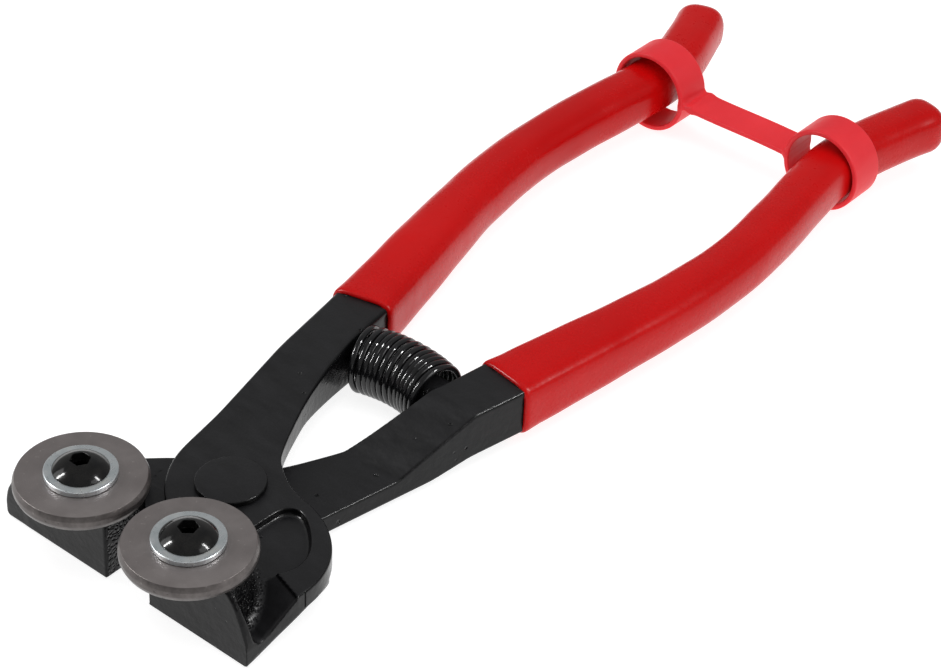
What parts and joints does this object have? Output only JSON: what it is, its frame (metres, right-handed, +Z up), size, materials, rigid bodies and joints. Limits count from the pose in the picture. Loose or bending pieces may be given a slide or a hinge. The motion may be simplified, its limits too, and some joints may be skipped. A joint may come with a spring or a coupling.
{
  "type": "mosaic glass nippers",
  "caption": "Wheeled glass nippers: two crossed levers on a rivet, round carbide cutting wheels, dipped grips, a return spring and a storage strap round the handles.",
  "frame": {"origin": "on the pivot axis, in the flat underside of the levers and jaw blocks", "axes": "+Z up along the pivot rivet, towards the cutting wheels; +Y from the jaws towards the handle ends; +X towards the lower lever's handle and the upper lever's jaw"},
  "size_m": [0.0658, 0.2107, 0.0225],
  "materials": {
    "lever_enamel": "satin black enamel over forged steel, fine orange peel",
    "spring_wire": "gloss black coated spring wire",
    "grip_vinyl": "red dipped vinyl, soft gloss",
    "carbide": "grey-brown sintered carbide with a ground bevel",
    "zinc": "bright zinc plate",
    "black_oxide": "oiled black oxide, semi-gloss",
    "strap_vinyl": "pink-red moulded vinyl, satin"
  },
  "bodies": {
    "lower_body": {"lower_lever": "lever_enamel", "lower_grip": "grip_vinyl", "pivot_rivet": "lever_enamel", "lower_spring_peg": "lever_enamel", "return_spring": "spring_wire", "lower_washer": "zinc", "lower_screw": "black_oxide"},
    "upper_body": {"upper_lever": "lever_enamel", "upper_grip": "grip_vinyl", "upper_spring_peg": "lever_enamel", "upper_washer": "zinc", "upper_screw": "black_oxide"},
    "lower_wheel_body": {"lower_wheel": "carbide"},
    "upper_wheel_body": {"upper_wheel": "carbide"},
    "strap_body": {"retaining_strap": "strap_vinyl"}
  },
  "joints": [
    {"name": "jaw_pivot", "type": "hinge", "parent": "lower_body", "child": "upper_body", "pos_m": [0, 0, 0.005], "axis": [0, 0, -1], "range_deg": [0, 2.3], "stiffness_Nm_per_rad": 2, "springref_deg": -20.05, "deforming": ["return_spring"]},
    {"name": "lower_wheel_index", "type": "hinge", "parent": "lower_body", "child": "lower_wheel_body", "pos_m": [-0.012, -0.0214, 0.0148], "axis": [0, 0, 1], "continuous": true},
    {"name": "upper_wheel_index", "type": "hinge", "parent": "upper_body", "child": "upper_wheel_body", "pos_m": [0.012, -0.0214, 0.0148], "axis": [0, 0, 1], "continuous": true},
    {"name": "strap_follow", "type": "hinge", "parent": "lower_body", "child": "strap_body", "pos_m": [0, 0, 0.005], "axis": [0, 0, -1], "range_deg": [0, 1.15]}
  ],
  "couplings": [
    {"joint": "strap_follow", "follows": "jaw_pivot", "ratio": 0.5}
  ]
}
